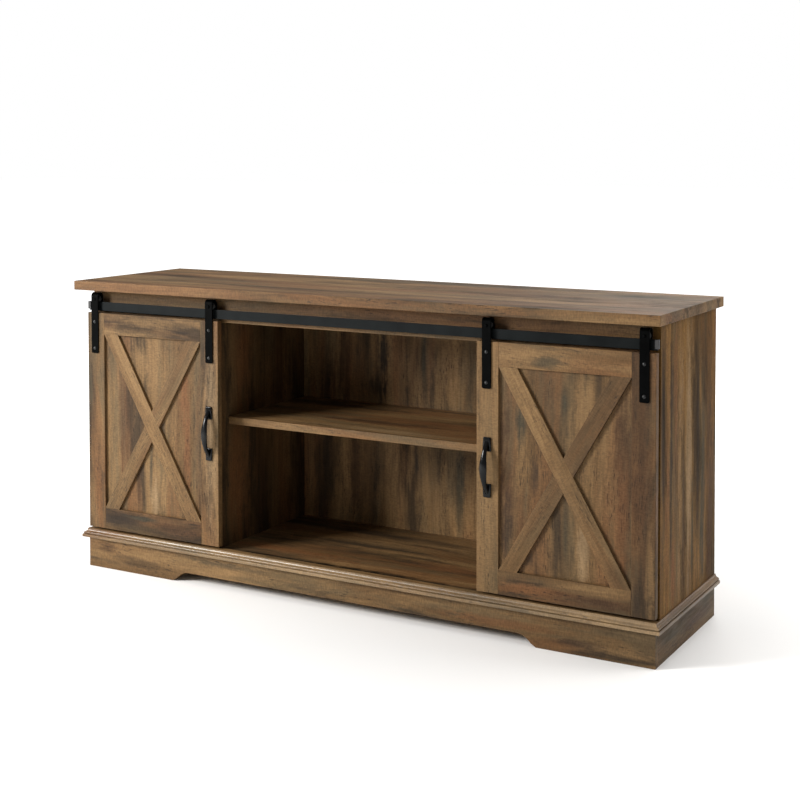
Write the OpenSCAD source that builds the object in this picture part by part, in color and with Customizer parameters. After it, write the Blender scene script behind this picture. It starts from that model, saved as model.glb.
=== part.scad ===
// Low media cabinet with two sliding barn doors, a moulded plinth and an open centre bay.
// Millimetres, +Z up, front towards -Y, origin at the middle of the footprint on the floor.

/* [Overall] */
// Width of the top panel, the widest part
overall_w = 1473; // [1300:1:1800]
// Depth of the top panel, front edge to back edge
overall_d = 400; // [320:1:480]
// Height from the floor to the top surface
overall_h = 694; // [600:1:840]

/* [Cabinet] */
// Thickness of the top panel
top_t = 21.5; // [16:0.5:30]
// How far the top stands past each side panel
top_overhang = 16.5; // [16:0.5:40]
// Thickness of the side, bottom and partition panels
panel_t = 16; // [13:1:20]
// Thickness of the back panel
back_t = 5; // [3:1:8]
// How far each door laps over the open centre bay
door_lap = 8.5; // [2:0.5:16]
// Height of the fascia under the top
fascia_h = 61; // [52:1:80]
// Radius of each cable port in the back panel
cable_r = 25; // [15:1:35]
// Height of the cable port centres above the bay floor
cable_rise = 60; // [40:1:90]

/* [Shelves] */
// Thickness of the shelves
shelf_t = 17; // [12:1:22]
// Height of the shelf tops above the bay floor
shelf_rise = 301; // [240:1:360]
// How far the shelf fronts stand behind the carcass front
shelf_setback = 26.5; // [10:0.5:80]
// Radius of the shelf pins
pin_r = 2.5; // [2:0.5:3]
// Length of a shelf pin that stands out under the shelf
pin_out = 9; // [6:1:12]

/* [Base] */
// Height of the base, floor to the top of the moulding
base_h = 91.5; // [76:0.5:120]
// Thickness of the skirt boards
skirt_t = 15; // [12:1:18]
// Height of the arch cut out of the front skirt
arch_h = 23.5; // [16:0.5:34]
// Length of each front foot beside the arch
foot_w = 254; // [180:1:320]
// Height of the moulding
moulding_h = 20; // [18:1:26]
// How far the moulding stands out from the skirt
moulding_out = 12.5; // [12:0.5:16]

/* [Doors] */
// Width of one door
door_w = 388; // [320:1:440]
// Thickness of a door
door_t = 15; // [12.5:0.5:18]
// Distance from the top's front edge back to the door fronts
door_setback = 28.5; // [24:0.5:34]
// Gap between the door backs and the carcass front
door_gap = 8.5; // [8:0.5:14]
// Gap between the door tops and the rail above them
door_top_gap = 5; // [3:1:10]
// Gap between the door bottoms and the base
door_floor_gap = 5; // [4:1:12]
// Width of the door stiles
stile_w = 50; // [44:1:62]
// Height of the door rails
door_rail_h = 50.5; // [42:0.5:62]
// Width of the crossed braces
brace_w = 36.5; // [28:0.5:44]
// How far the panel lies behind the face of the frame
panel_recess = 6.5; // [3:0.5:8]
// Thickness of the door panel
door_panel_t = 5; // [4:0.5:6]

/* [Track] */
// Height of the flat rail
rail_h = 21; // [17:1:26]
// Thickness of the flat rail
rail_t = 4; // [3:0.5:5]
// Distance from the underside of the top down to the rail's top edge
rail_drop = 30; // [27:1:36]
// Gap between the hanger straps and the rail
strap_rail_gap = 6; // [5:0.5:8]
// Radius on which a roller runs along the rail
tread_r = 6.5; // [5:0.5:8]
// Depth of the roller flanges below the rail's top edge
flange_depth = 2.3; // [2:0.1:3]
// Radius of the roller axles
axle_r = 2.5; // [2:0.5:3]

/* [Hangers] */
// Width of a hanger strap
strap_w = 20; // [16:1:26]
// Thickness of a hanger strap
strap_t = 3; // [2:0.5:3.5]
// Length of strap that lies on the door
strap_on_door = 97; // [80:1:120]
// Distance from a strap's middle to the door's edge
strap_inset = 23.5; // [18:0.5:30]

/* [Handles] */
// Overall height of a handle
handle_h = 125; // [105:1:150]
// How far a handle stands out from the door
handle_out = 24; // [20:1:24]
// Width of the handle's feet at their widest
handle_foot_w = 19; // [15:1:23]
// Height of the handles' middle above the floor
handle_z = 357; // [300:1:420]

/* [Hidden] */

// Fineness of round parts, and the steps in an eased edge or a curved outline
$fn = 48;
EASE_STEPS = 3;
CURVE_STEPS = 8;

// Sides, as signs along X
LEFT = -1;
RIGHT = 1;

// Colours
WOOD = [0.52, 0.39, 0.27];
WOOD_PALE = [0.60, 0.47, 0.34];
BLACK_STEEL = [0.13, 0.13, 0.14];
BARE_STEEL = [0.62, 0.62, 0.62];
NYLON = [0.20, 0.20, 0.20];
DOWEL_WOOD = [0.80, 0.68, 0.50];

// Clearances and small allowances
ease = 1;             // eased edge of a board
fit_gap = 0.1;        // radial room round a dowel or a screw that goes through
slip_gap = 1;         // room at the end of a loose shelf
running_gap = 0.05;   // radial room of a roller on its axle
roll_gap = 0.2;       // room between a roller's tread and the rail
side_gap = 0.3;       // room beside the rail in the roller's groove
body_gap = 0.8;       // room between a turning roller and what stands beside it
guide_gap = 1.3;      // room beside a guide's tongue in the channel

// Levels
skirt_lap = 1; // how far the side mouldings lap onto the skirts below the side panels
top_z = overall_h - top_t;
carcass_z = base_h - moulding_h + skirt_lap;
bay_floor_z = carcass_z + panel_t;
shelf_z = bay_floor_z + shelf_rise;
rail_top_z = top_z - rail_drop;
rail_z = rail_top_z - rail_h;
axle_z = rail_top_z + tread_r;
door_z = base_h + door_floor_gap;
door_top_z = rail_z - door_top_gap;
door_h = door_top_z - door_z;

// Depths, all measured along Y
front_y = -overall_d / 2;
back_y = overall_d / 2;
door_y = front_y + door_setback;
door_back_y = door_y + door_t;
carcass_y = door_back_y + door_gap;
channel_w = 8;
skirt_y = carcass_y - channel_w - skirt_t;
skirt_back_y = skirt_y + skirt_t;
strap_y = door_y - strap_t;
rail_y = door_y + strap_rail_gap;
rail_mid_y = rail_y + rail_t / 2;
back_panel_y = back_y - back_t;
carcass_d = back_y - carcass_y;
fascia_back_y = carcass_y + panel_t;
shelf_y = carcass_y + shelf_setback;

// Widths, all measured from the middle
carcass_x = overall_w / 2 - top_overhang;
inner_x = carcass_x - panel_t;
door_side_inset = 1;
door_outer_x = carcass_x - door_side_inset;
door_mid_x = door_outer_x - door_w / 2;
door_inner_x = door_outer_x - door_w;
bay_x = door_inner_x + door_lap;
partition_x = bay_x + panel_t;

// Joints in the cabinet
rabbet_w = panel_t / 2;
dowel_r = 4;
dowel_in_top = 12;
dowel_in_panel = 18;
dowel_in_side = 9;
dowel_in_floor = 21;
dowel_y = [carcass_y + 60, back_panel_y - 60];
pin_in = 6.5;
pin_y = [shelf_y + 40, back_panel_y - 50];

// Base
cleat_w = 18;
cleat_h = 40;
glide_t = 2;
glide_r = 11;
block_leg = 60;
block_h = 50;
channel_wall = 1.2;
channel_floor = 1.5;
channel_z = carcass_z;
channel_top_z = bay_floor_z;

// Track
cap_len = 8;
cap_wall = 2;
cap_end = 3;
cap_drop = 3;
rail_x = carcass_x + 2 - cap_end;
standoff_x = [for (i = [-2:2]) i * rail_x * 0.447];
standoff_r = 5.5;
standoff_bore_r = 2.6;
rail_screw_r = 2.4;
rail_screw_head_r = 5;
rail_screw_head_h = 3;
rail_hole_depth = rail_t - 1;
rail_mid_z = rail_z + rail_h / 2;

// Rollers and hangers
flange_t = 1.5;
groove_w = rail_t + 2 * side_gap;
roller_w = groove_w + 2 * flange_t;
flange_r = tread_r + flange_depth;
roller_y = rail_mid_y - roller_w / 2;
leg_back_y = roller_y + roller_w + body_gap;
hook_r = (leg_back_y + strap_t - strap_y) / 2;
hook_over_flange = 1.8;
hook_mid_z = axle_z + flange_r - hook_over_flange;
strap_z = door_top_z - strap_on_door;
strap_corner = 2;
bolt_head_r = 4;
bolt_head_h = 2.4;
bolt_shank_r = 2.5;
bolt_depth = 12;
bolt_z = [strap_z + 12, strap_z + 75.5];
collar_r = 4;
nut_r = 4.6;
nut_t = 3;
pin_end = 1;

// Handles
foot_len = 29;
foot_t = 3;
foot_taper = 2;
foot_corner = 3;
bow_t = 5;
bow_mid_w = 13;
bow_neck_w = 6.5;
bow_root = 18;
handle_screw_r = 2;
handle_screw_head_r = 4;
handle_screw_head_h = 2.5;

// Door guides
guide_w = 30;
guide_h = 24;
guide_inset = 40;
tongue_clear = 5;

// ---------- outlines ----------

// Points on an arc, from one angle to another
function arc_points(cx, cy, r, a0, a1, steps) =
    [for (i = [0:steps]) let (a = a0 + (a1 - a0) * i / steps) [cx + r * cos(a), cy + r * sin(a)]];

// A rectangle from the origin with its four corners eased
function eased_outline(w, h, r) = concat(
    arc_points(w - r, h - r, r, 0, 90, EASE_STEPS),
    arc_points(r, h - r, r, 90, 180, EASE_STEPS),
    arc_points(r, r, r, 180, 270, EASE_STEPS),
    arc_points(w - r, r, r, 270, 360, EASE_STEPS));

// Extrudes a 2D outline drawn in Y and Z along +X
module along_x(length) {
    rotate([90, 0, 90])
        linear_extrude(length)
            children();
}

// Extrudes a 2D outline drawn in X and Z along +Y
module along_y(length) {
    translate([0, length, 0])
        rotate([90, 0, 0])
            linear_extrude(length)
                children();
}

// A board from the origin with all its edges eased
module board(size, r = ease) {
    intersection() {
        linear_extrude(size.z)
            polygon(eased_outline(size.x, size.y, r));
        along_x(size.x)
            polygon(eased_outline(size.y, size.z, r));
        along_y(size.y)
            polygon(eased_outline(size.x, size.z, r));
    }
}

// A round bar or bore along +Y that starts at a point
module rod_y(at, r, length) {
    translate(at)
        rotate([-90, 0, 0])
            cylinder(r = r, h = length);
}

// A domed head whose flat side is at a point and whose dome faces -Y
module dome_head(at, r, h) {
    dome_r = (r * r + h * h) / (2 * h);
    translate(at)
        rotate([90, 0, 0])
            intersection() {
                cylinder(r = r, h = h);
                translate([0, 0, h - dome_r])
                    sphere(r = dome_r);
            }
}

// ---------- cabinet ----------

// Vertical dowels at one panel, as solids or, with room added, as their holes
module upright_dowels(x, from_z, length, room = 0) {
    for (y = dowel_y)
        translate([x, y, from_z - room])
            cylinder(r = dowel_r + room, h = length + 2 * room);
}

// Level dowels through one side panel into the bottom panel
module level_dowels(side, room = 0) {
    for (y = dowel_y)
        translate([side * (inner_x - dowel_in_floor - room), y, carcass_z + panel_t / 2])
            rotate([0, side * 90, 0])
                cylinder(r = dowel_r + room, h = dowel_in_floor + dowel_in_side + 2 * room);
}

// Dowels between the top and one upright panel
module top_dowels(x, room = 0) {
    upright_dowels(x, top_z - dowel_in_panel, dowel_in_panel + dowel_in_top, room);
}

// Dowels between the bottom panel and one partition
module floor_dowels(x, room = 0) {
    upright_dowels(x, bay_floor_z - dowel_in_side, dowel_in_side + dowel_in_panel, room);
}

// Middle of a side panel and of a partition
side_mid_x = carcass_x - panel_t / 2;
partition_mid_x = bay_x + panel_t / 2;

// Shelf pins in one face of an upright panel; out is the way the pins stand out
module face_pins(x, out, room = 0) {
    for (y = pin_y)
        translate([x - out * (pin_in + room), y, shelf_z - shelf_t - pin_r])
            rotate([0, out * 90, 0])
                cylinder(r = pin_r + room, h = pin_in + pin_out + room);
}

module top_panel() {
    color(WOOD)
        difference() {
            translate([-overall_w / 2, front_y, top_z])
                board([overall_w, overall_d, top_t]);
            for (side = [LEFT, RIGHT]) {
                top_dowels(side * side_mid_x, fit_gap);
                top_dowels(side * partition_mid_x, fit_gap);
            }
        }
}

// A side panel, rabbeted for the back panel
module side_panel(side) {
    x = side == LEFT ? -carcass_x : inner_x;
    color(WOOD)
        difference() {
            translate([x, carcass_y, carcass_z])
                board([panel_t, carcass_d, top_z - carcass_z], ease / 2);
            translate([side * inner_x - rabbet_w, back_panel_y, carcass_z - 1])
                cube([2 * rabbet_w, back_t + 1, top_z - carcass_z + 2]);
            top_dowels(side * side_mid_x, fit_gap);
            level_dowels(side, fit_gap);
            face_pins(side * inner_x, -side, fit_gap);
        }
}

// A partition between two bays, notched for the fascia
module partition(side) {
    x = side == LEFT ? -partition_x : bay_x;
    color(WOOD)
        difference() {
            translate([x, carcass_y, bay_floor_z])
                board([panel_t, back_panel_y - carcass_y, top_z - bay_floor_z], ease / 2);
            translate([x - 1, carcass_y - 1, top_z - fascia_h])
                cube([panel_t + 2, panel_t + 1, fascia_h + 1]);
            top_dowels(side * partition_mid_x, fit_gap);
            floor_dowels(side * partition_mid_x, fit_gap);
            face_pins(side * bay_x, -side, fit_gap);
            face_pins(side * partition_x, side, fit_gap);
        }
}

module bottom_panel() {
    color(WOOD)
        difference() {
            translate([-inner_x, carcass_y, carcass_z])
                board([2 * inner_x, back_panel_y - carcass_y, panel_t], ease / 2);
            for (side = [LEFT, RIGHT]) {
                level_dowels(side, fit_gap);
                floor_dowels(side * partition_mid_x, fit_gap);
            }
        }
}

// The back panel, with a cable port behind each closed bay
module back_panel() {
    half_w = inner_x + rabbet_w;
    color(WOOD)
        difference() {
            translate([-half_w, back_panel_y, carcass_z])
                cube([2 * half_w, back_t, top_z - carcass_z]);
            for (side = [LEFT, RIGHT])
                rod_y([side * (partition_x + inner_x) / 2, back_panel_y - 1, bay_floor_z + cable_rise],
                    cable_r, back_t + 2);
        }
}

module front_fascia() {
    color(WOOD)
        difference() {
            translate([-inner_x, carcass_y, top_z - fascia_h])
                board([2 * inner_x, panel_t, fascia_h], ease / 2);
            for (x = standoff_x)
                rod_y([x, carcass_y - 1, rail_mid_z], rail_screw_r + fit_gap, panel_t + 2);
        }
}

// A shelf that lies loose on its pins between two faces
module shelf(x0, x1) {
    color(WOOD)
        translate([x0 + slip_gap, shelf_y, shelf_z - shelf_t])
            board([x1 - x0 - 2 * slip_gap, back_panel_y - slip_gap - shelf_y, shelf_t]);
}

module shelf_pins() {
    color(BARE_STEEL)
        for (side = [LEFT, RIGHT]) {
            face_pins(side * bay_x, -side);
            face_pins(side * partition_x, side);
            face_pins(side * inner_x, -side);
        }
}

module panel_dowels() {
    color(DOWEL_WOOD)
        for (side = [LEFT, RIGHT]) {
            top_dowels(side * side_mid_x);
            top_dowels(side * partition_mid_x);
            floor_dowels(side * partition_mid_x);
            level_dowels(side);
        }
}

// ---------- base ----------

// One end of the arch: a round shoulder that flares out into the foot
SHOULDER_ANGLE = 50;
SHOULDER_SHARE = 0.68;
shoulder_r = arch_h * SHOULDER_SHARE / (1 - cos(SHOULDER_ANGLE));
flare_h = arch_h * (1 - SHOULDER_SHARE);
flare_w = flare_h / tan(SHOULDER_ANGLE * 0.62);
shoulder_w = shoulder_r * sin(SHOULDER_ANGLE);
arch_foot_x = carcass_x - foot_w;
arch_flat_x = arch_foot_x - flare_w - shoulder_w;

// Half of the arch outline, from the foot up to the flat underside
function arch_side() = concat(
    [[arch_foot_x, -1], [arch_foot_x, 0]],
    arc_points(arch_flat_x, arch_h - shoulder_r, shoulder_r, 90 - SHOULDER_ANGLE, 90, CURVE_STEPS));

module front_skirt() {
    half = arch_side();
    flipped = [for (i = [len(half) - 1:-1:0]) [-half[i].x, half[i].y]];
    color(WOOD)
        difference() {
            translate([-carcass_x, skirt_y, 0])
                board([2 * carcass_x, skirt_t, base_h], ease / 2);
            translate([0, skirt_y - 1, 0])
                along_y(skirt_t + 2)
                    polygon(concat(half, flipped));
        }
}

module side_skirt(side) {
    x = side == LEFT ? -carcass_x : carcass_x - skirt_t;
    color(WOOD)
        translate([x, skirt_back_y, 0])
            board([skirt_t, back_y - skirt_back_y, carcass_z], ease / 2);
}

module rear_skirt() {
    color(WOOD)
        translate([skirt_t - carcass_x, back_y - skirt_t, 0])
            board([2 * (carcass_x - skirt_t), skirt_t, carcass_z], ease / 2);
}

// Moulding section: how far out it stands, and its height, from the foot of the wall.
// A rounded nose, a bead, and a cove that runs up to a small flat.
nose_h = moulding_h * 0.36;
nose_r = 1.6;
bead_r = moulding_h * 0.11;
bead_out = moulding_out - 2.2;
quirk = 0.8;
flat_out = 3;
flat_h = 1.2;
cove_low_z = nose_h + quirk + 2 * bead_r + quirk;
cove_top_z = moulding_h - flat_h;
cove_out = bead_out - bead_r;

function moulding_section() = concat(
    [[0, 0]],
    arc_points(moulding_out - nose_r, nose_r, nose_r, -90, 0, EASE_STEPS),
    arc_points(moulding_out - nose_r, nose_h - nose_r, nose_r, 0, 90, EASE_STEPS),
    [[bead_out - bead_r, nose_h], [bead_out - bead_r, nose_h + quirk]],
    arc_points(bead_out - bead_r, nose_h + quirk + bead_r, bead_r, -90, 90, CURVE_STEPS),
    [for (i = [0:CURVE_STEPS])
        let (a = 90 * i / CURVE_STEPS)
            [cove_out - quirk - (cove_out - quirk - flat_out) * sin(a),
             cove_top_z - (cove_top_z - cove_low_z) * cos(a)]],
    [[flat_out, moulding_h], [0, moulding_h]]);

moulding_z = base_h - moulding_h;
moulding_x = carcass_x + moulding_out;
moulding_y = skirt_y - moulding_out;

module front_moulding() {
    color(WOOD_PALE)
        intersection() {
            translate([-moulding_x, skirt_y, moulding_z])
                along_x(2 * moulding_x)
                    mirror([1, 0])
                        polygon(moulding_section());
            linear_extrude(base_h + 1)
                polygon([
                    [-moulding_x, moulding_y], [moulding_x, moulding_y],
                    [carcass_x, skirt_y], [-carcass_x, skirt_y]]);
        }
}

module side_moulding(side) {
    color(WOOD_PALE)
        mirror([side == LEFT ? 1 : 0, 0, 0])
            intersection() {
                translate([carcass_x, back_y, moulding_z])
                    rotate([90, 0, 0])
                        linear_extrude(back_y - moulding_y)
                            polygon(moulding_section());
                linear_extrude(base_h + 1)
                    polygon([
                        [carcass_x, skirt_y], [moulding_x, moulding_y],
                        [moulding_x, back_y], [carcass_x, back_y]]);
            }
}

// The strip behind the front skirt that carries the bottom panel and the guide channel
module front_cleat() {
    color(DOWEL_WOOD)
        translate([skirt_t - carcass_x, skirt_back_y, carcass_z - cleat_h])
            board([2 * (carcass_x - skirt_t), cleat_w, cleat_h], ease / 2);
}

// Middles of the corner blocks and of the centre foot
block_in = block_leg * 0.293;
corner_x = carcass_x - skirt_t;
front_block_y = skirt_back_y + (block_h + glide_t > carcass_z - cleat_h ? cleat_w : 0);
rear_block_y = back_y - skirt_t;

// A three-cornered block in a base corner; dx and dy point into the base
module corner_block(x, y, dx, dy) {
    translate([x, y, glide_t])
        linear_extrude(block_h)
            polygon([[0, 0], [dx * block_leg, 0], [0, dy * block_leg]]);
}

module base_blocks() {
    color(DOWEL_WOOD) {
        for (side = [LEFT, RIGHT]) {
            corner_block(side * corner_x, front_block_y, -side, 1);
            corner_block(side * corner_x, rear_block_y, -side, -1);
        }
        translate([-block_leg / 2, -block_leg / 2, glide_t])
            cube([block_leg, block_leg, carcass_z - glide_t]);
    }
}

module floor_glides() {
    color(NYLON) {
        for (side = [LEFT, RIGHT]) {
            translate([side * (corner_x - block_in), front_block_y + block_in, 0])
                cylinder(r = glide_r, h = glide_t);
            translate([side * (corner_x - block_in), rear_block_y - block_in, 0])
                cylinder(r = glide_r, h = glide_t);
        }
        cylinder(r = glide_r, h = glide_t);
    }
}

// The black channel let into the base, in which the door guides run
module guide_channel() {
    color(BLACK_STEEL)
        difference() {
            translate([-carcass_x, skirt_back_y, channel_z])
                cube([2 * carcass_x, channel_w, channel_top_z - channel_z]);
            translate([-carcass_x - 1, skirt_back_y + channel_wall, channel_z + channel_floor])
                cube([2 * carcass_x + 2, channel_w - 2 * channel_wall, channel_top_z - channel_z]);
        }
}

// ---------- track ----------

module track_rail() {
    color(BLACK_STEEL)
        difference() {
            translate([-rail_x, rail_y, rail_z])
                board([2 * rail_x, rail_t, rail_h], 0.5);
            for (x = standoff_x)
                rod_y([x, rail_y + rail_t - rail_hole_depth, rail_mid_z],
                    rail_screw_r + fit_gap, rail_hole_depth + 1);
        }
}

module rail_standoffs() {
    standoff_y = rail_y + rail_t;
    color(BLACK_STEEL)
        for (x = standoff_x)
            difference() {
                rod_y([x, standoff_y, rail_mid_z], standoff_r, carcass_y - standoff_y);
                rod_y([x, standoff_y - 1, rail_mid_z], standoff_bore_r, carcass_y - standoff_y + 2);
            }
}

module rail_screws() {
    start_y = rail_y + rail_t - rail_hole_depth + fit_gap;
    color(BARE_STEEL)
        for (x = standoff_x) {
            rod_y([x, start_y, rail_mid_z], rail_screw_r, fascia_back_y - start_y);
            mirror([0, 1, 0])
                dome_head([x, -fascia_back_y, rail_mid_z], rail_screw_head_r, rail_screw_head_h);
        }
}

// Clips over the rail's ends that stop the rollers
module rail_end_caps() {
    color(BLACK_STEEL)
        for (side = [LEFT, RIGHT])
            mirror([side == LEFT ? 1 : 0, 0, 0])
                difference() {
                    translate([rail_x + cap_end - cap_len, rail_y - cap_wall, rail_z + cap_drop])
                        board([cap_len, rail_t + 2 * cap_wall, rail_h - cap_drop], 0.5);
                    translate([0, rail_y, rail_z])
                        cube([rail_x, rail_t, rail_h + 1]);
                }
}

// ---------- doors ----------

opening_w = door_w - 2 * stile_w;
opening_h = door_h - 2 * door_rail_h;
groove_d = 8;
tongue_d = groove_d - slip_gap;
panel_y = door_y + panel_recess;

// The slot in the door frame that holds the panel, round the middle of a door
module panel_slot(x) {
    translate([x - opening_w / 2 - groove_d, panel_y - fit_gap / 2, door_z + door_rail_h - groove_d])
        cube([opening_w + 2 * groove_d, door_panel_t + fit_gap, opening_h + 2 * groove_d]);
}

// Middle of one hanger: outer is 1 for the hanger by the cabinet's side, -1 for the other
function hanger_x(side, outer) = side * (door_mid_x + outer * (door_w / 2 - strap_inset));

function handle_x(side) = side * (door_inner_x + stile_w / 2);

module door_stile(side, outer) {
    edge_x = side * (outer > 0 ? door_outer_x : door_inner_x);
    x = side * outer > 0 ? edge_x - stile_w : edge_x;
    color(WOOD)
        difference() {
            translate([x, door_y, door_z])
                board([stile_w, door_t, door_h]);
            panel_slot(side * door_mid_x);
            strap_bolt_shanks(hanger_x(side, outer), fit_gap);
            if (outer < 0)
                handle_screw_shanks(side, fit_gap);
        }
}

module door_rail(side, z) {
    x = side * door_mid_x;
    color(WOOD)
        difference() {
            translate([x - opening_w / 2, door_y, z])
                board([opening_w, door_t, door_rail_h], ease / 2);
            panel_slot(x);
        }
}

module door_panel(side) {
    w = opening_w + 2 * tongue_d;
    h = opening_h + 2 * tongue_d;
    color(WOOD)
        translate([side * door_mid_x - w / 2, panel_y, door_z + door_rail_h - tongue_d])
            cube([w, door_panel_t, h]);
}

// Angle from upright at which a brace of this width fills the opening corner to corner
opening_diagonal = sqrt(opening_w * opening_w + opening_h * opening_h);
brace_angle = acos(brace_w / opening_diagonal) - atan2(opening_h, opening_w);

// A straight bar through the middle of a door, leaning by an angle from upright
module leaning_bar(side, angle, r) {
    translate([side * door_mid_x, door_y, door_z + door_h / 2])
        rotate([0, angle, 0])
            translate([-brace_w / 2, 0, -opening_diagonal / 2])
                linear_extrude(opening_diagonal)
                    difference() {
                        polygon(eased_outline(brace_w, 2 * panel_recess, r));
                        translate([-1, panel_recess])
                            square([brace_w + 2, panel_recess + 1]);
                    }
}

module opening_block(side) {
    translate([side * door_mid_x - opening_w / 2, door_y, door_z + door_rail_h])
        cube([opening_w, panel_recess, opening_h]);
}

// The brace that runs unbroken from the upper left to the lower right
module long_brace(side) {
    color(WOOD)
        intersection() {
            leaning_bar(side, -brace_angle, ease / 2);
            opening_block(side);
        }
}

// The two halves of the other brace, which meet the long one
module short_braces(side) {
    color(WOOD)
        difference() {
            intersection() {
                leaning_bar(side, brace_angle, ease / 2);
                opening_block(side);
            }
            leaning_bar(side, -brace_angle, 0.01);
        }
}

// ---------- hangers and rollers ----------

// Side view of a strap: a long front leg, a half-round hook, and a short back leg
module hook_outline() {
    translate([strap_y, strap_z])
        square([strap_t, hook_mid_z - strap_z]);
    translate([leg_back_y, axle_z - strap_w / 2])
        square([strap_t, hook_mid_z - axle_z + strap_w / 2]);
    translate([strap_y + hook_r, hook_mid_z])
        difference() {
            circle(r = hook_r);
            circle(r = hook_r - strap_t);
            translate([-hook_r - 1, -2 * hook_r])
                square([2 * hook_r + 2, 2 * hook_r]);
        }
}

module hanger(x) {
    difference() {
        intersection() {
            translate([x - strap_w / 2, 0, 0])
                along_x(strap_w)
                    hook_outline();
            translate([x - strap_w / 2, strap_y - 1, strap_z])
                along_y(2 * hook_r + 2)
                    polygon([
                        [strap_corner, 0], [strap_w - strap_corner, 0], [strap_w, strap_corner],
                        [strap_w, top_z - strap_z], [0, top_z - strap_z], [0, strap_corner]]);
        }
        strap_bolt_shanks(x, fit_gap);
        rod_y([x, strap_y - 1, axle_z], axle_r + fit_gap, 2 * hook_r + 2);
    }
}

module hangers(side) {
    color(BLACK_STEEL)
        for (outer = [-1, 1])
            hanger(hanger_x(side, outer));
}

// Shanks of the two bolts that fix a strap to its stile
module strap_bolt_shanks(x, room = 0) {
    for (z = bolt_z)
        rod_y([x, strap_y - room, z], bolt_shank_r + room, strap_t + bolt_depth + 2 * room);
}

module strap_bolts(side) {
    color(BLACK_STEEL)
        for (outer = [-1, 1]) {
            x = hanger_x(side, outer);
            strap_bolt_shanks(x);
            for (z = bolt_z)
                dome_head([x, strap_y, z], bolt_head_r, bolt_head_h);
        }
}

// Shouldered pins on which the rollers turn
module axle_pins(side) {
    end_y = leg_back_y + strap_t + nut_t + pin_end;
    color(BLACK_STEEL)
        for (outer = [-1, 1]) {
            x = hanger_x(side, outer);
            dome_head([x, strap_y, axle_z], bolt_head_r, bolt_head_h);
            rod_y([x, strap_y, axle_z], axle_r, end_y - strap_y);
            rod_y([x, door_y, axle_z], collar_r, roller_y - body_gap - door_y);
        }
}

module axle_nuts(side) {
    color(BARE_STEEL)
        for (outer = [-1, 1])
            translate([hanger_x(side, outer), leg_back_y + strap_t, axle_z])
                rotate([-90, 0, 0])
                    difference() {
                        cylinder(r = nut_r, h = nut_t, $fn = 6);
                        translate([0, 0, -1])
                            cylinder(r = axle_r + fit_gap / 2, h = nut_t + 2);
                    }
}

// A grooved roller that straddles the rail's top edge
module roller(side, outer) {
    running_r = tread_r - roll_gap;
    rim = 0.5;
    color(NYLON)
        translate([hanger_x(side, outer), roller_y, axle_z])
            rotate([-90, 0, 0])
                rotate_extrude()
                    polygon([
                        [axle_r + running_gap, 0], [flange_r - rim, 0], [flange_r, rim],
                        [flange_r, flange_t - rim], [flange_r - rim, flange_t], [running_r, flange_t],
                        [running_r, roller_w - flange_t], [flange_r - rim, roller_w - flange_t],
                        [flange_r, roller_w - flange_t + rim], [flange_r, roller_w - rim],
                        [flange_r - rim, roller_w], [axle_r + running_gap, roller_w]]);
}

// ---------- handles and guides ----------

// One foot plate seen from the front, its wide end at the origin and its narrow end above
module foot_outline() {
    wide = handle_foot_w / 2;
    slim = wide - foot_taper;
    polygon(concat(
        [[-wide, 0], [wide, 0]],
        arc_points(slim - foot_corner, foot_len - foot_corner, foot_corner, 0, 90, EASE_STEPS),
        arc_points(foot_corner - slim, foot_len - foot_corner, foot_corner, 90, 180, EASE_STEPS)));
}

// Half the height of the bow, and the radius of its outer face
bow_half = handle_h / 2 - foot_len + bow_root;
bow_rise = handle_out;
bow_r = (bow_half * bow_half + bow_rise * bow_rise) / (2 * bow_rise);

// The bow's outline from the front: narrow at both necks and wider in the middle
module bow_outline() {
    half = handle_h / 2;
    polygon(concat(
        [for (i = [-CURVE_STEPS:CURVE_STEPS])
            [bow_width(i / CURVE_STEPS) / 2, half * i / CURVE_STEPS]],
        [for (i = [CURVE_STEPS:-1:-CURVE_STEPS])
            [-bow_width(i / CURVE_STEPS) / 2, half * i / CURVE_STEPS]]));
}

function bow_width(t) = bow_neck_w + (bow_mid_w - bow_neck_w) * pow(cos(90 * t), 2);

module handle(side) {
    color(BLACK_STEEL)
        difference() {
            translate([handle_x(side), door_y, handle_z]) {
                for (up = [0, 1])
                    mirror([0, 0, up])
                        translate([0, -foot_t, handle_h / 2 - foot_len])
                            along_y(foot_t)
                                foot_outline();
                intersection() {
                    translate([-bow_mid_w / 2 - 1, 0, 0])
                        along_x(bow_mid_w + 2)
                            difference() {
                                translate([bow_r - bow_rise, 0])
                                    circle(r = bow_r);
                                translate([bow_r - bow_rise, 0])
                                    circle(r = bow_r - bow_t);
                                translate([-foot_t / 2, -2 * bow_r])
                                    square([4 * bow_r, 4 * bow_r]);
                            }
                    translate([0, -bow_rise - 1, 0])
                        along_y(bow_rise + 1)
                            bow_outline();
                }
            }
            handle_screw_shanks(side, fit_gap);
        }
}

// Shanks of the two screws that hold a handle from behind
module handle_screw_shanks(side, room = 0) {
    start_y = door_y - foot_t + 1;
    for (up = [-1, 1])
        rod_y([handle_x(side), start_y - room, handle_z + up * (handle_h - foot_len) / 2],
            handle_screw_r + room, door_back_y - start_y + 2 * room);
}

module handle_screws(side) {
    color(BARE_STEEL) {
        handle_screw_shanks(side);
        for (up = [-1, 1])
            mirror([0, 1, 0])
                dome_head([handle_x(side), -door_back_y, handle_z + up * (handle_h - foot_len) / 2],
                    handle_screw_head_r, handle_screw_head_h);
    }
}

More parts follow.
